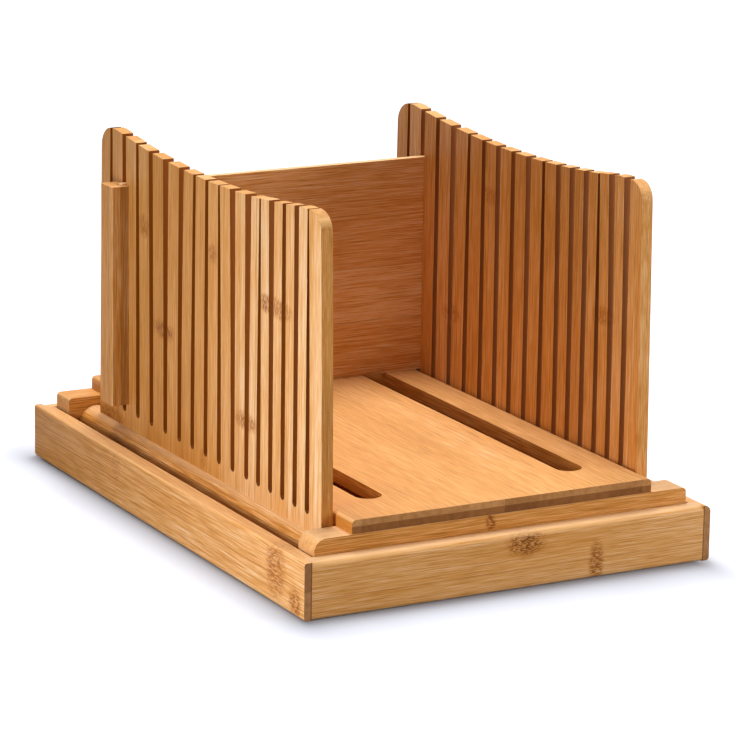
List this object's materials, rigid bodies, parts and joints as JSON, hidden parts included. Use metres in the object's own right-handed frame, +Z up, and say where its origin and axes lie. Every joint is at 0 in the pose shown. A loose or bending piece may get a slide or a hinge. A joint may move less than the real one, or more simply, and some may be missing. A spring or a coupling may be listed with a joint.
{
  "type": "bread slicer guide",
  "caption": "Bamboo bread slicer: a slotted cutting board between two fold-out comb guides with a lift-out stop panel, standing in a crumb tray.",
  "frame": {"origin": "Middle of the crumb tray's underside, on the table.", "axes": "+Z up; -Y is the front end, away from the stop panel; +X is to the right seen from the front."},
  "size_m": [0.254, 0.3556, 0.2105],
  "materials": {
    "tray_bamboo": "satin, clear-oiled bamboo",
    "rail_bamboo": "satin, clear-oiled bamboo",
    "board_bamboo": "satin, clear-oiled bamboo",
    "guide_bamboo": "satin, clear-oiled bamboo",
    "stop_bamboo": "satin, clear-oiled bamboo",
    "pin_steel": "plain",
    "screw_steel": "zinc plated"
  },
  "bodies": {
    "tray": {"tray_front": "tray_bamboo", "tray_rear": "tray_bamboo", "tray_left_side": "tray_bamboo", "tray_right_side": "tray_bamboo", "tray_floor": "tray_bamboo"},
    "base": {"front_rail": "rail_bamboo", "rear_rail": "rail_bamboo", "cutting_board": "board_bamboo", "front_rail_screws": "screw_steel", "rear_rail_screws": "screw_steel"},
    "left_wing": {"left_guide": "guide_bamboo", "left_hinge_rod": "guide_bamboo", "left_front_pin": "pin_steel", "left_rear_pin": "pin_steel", "left_batten": "guide_bamboo"},
    "right_wing": {"right_guide": "guide_bamboo", "right_hinge_rod": "guide_bamboo", "right_front_pin": "pin_steel", "right_rear_pin": "pin_steel", "right_batten": "guide_bamboo"},
    "stop": {"stop_panel": "stop_bamboo"}
  },
  "joints": [
    {"name": "base_lift_out", "type": "slide", "parent": "tray", "child": "base", "axis": [0, 0, 1], "range_m": [0, 0.06]},
    {"name": "left_guide_fold", "type": "hinge", "parent": "base", "child": "left_wing", "pos_m": [-0.09905, 0, 0.024], "axis": [0, -1, 0], "range_deg": [0, 45]},
    {"name": "right_guide_fold", "type": "hinge", "parent": "base", "child": "right_wing", "pos_m": [0.09905, 0, 0.024], "axis": [0, 1, 0], "range_deg": [0, 45]},
    {"name": "stop_lift_out", "type": "slide", "parent": "base", "child": "stop", "axis": [0, 0, 1], "range_m": [0, 0.165]}
  ]
}
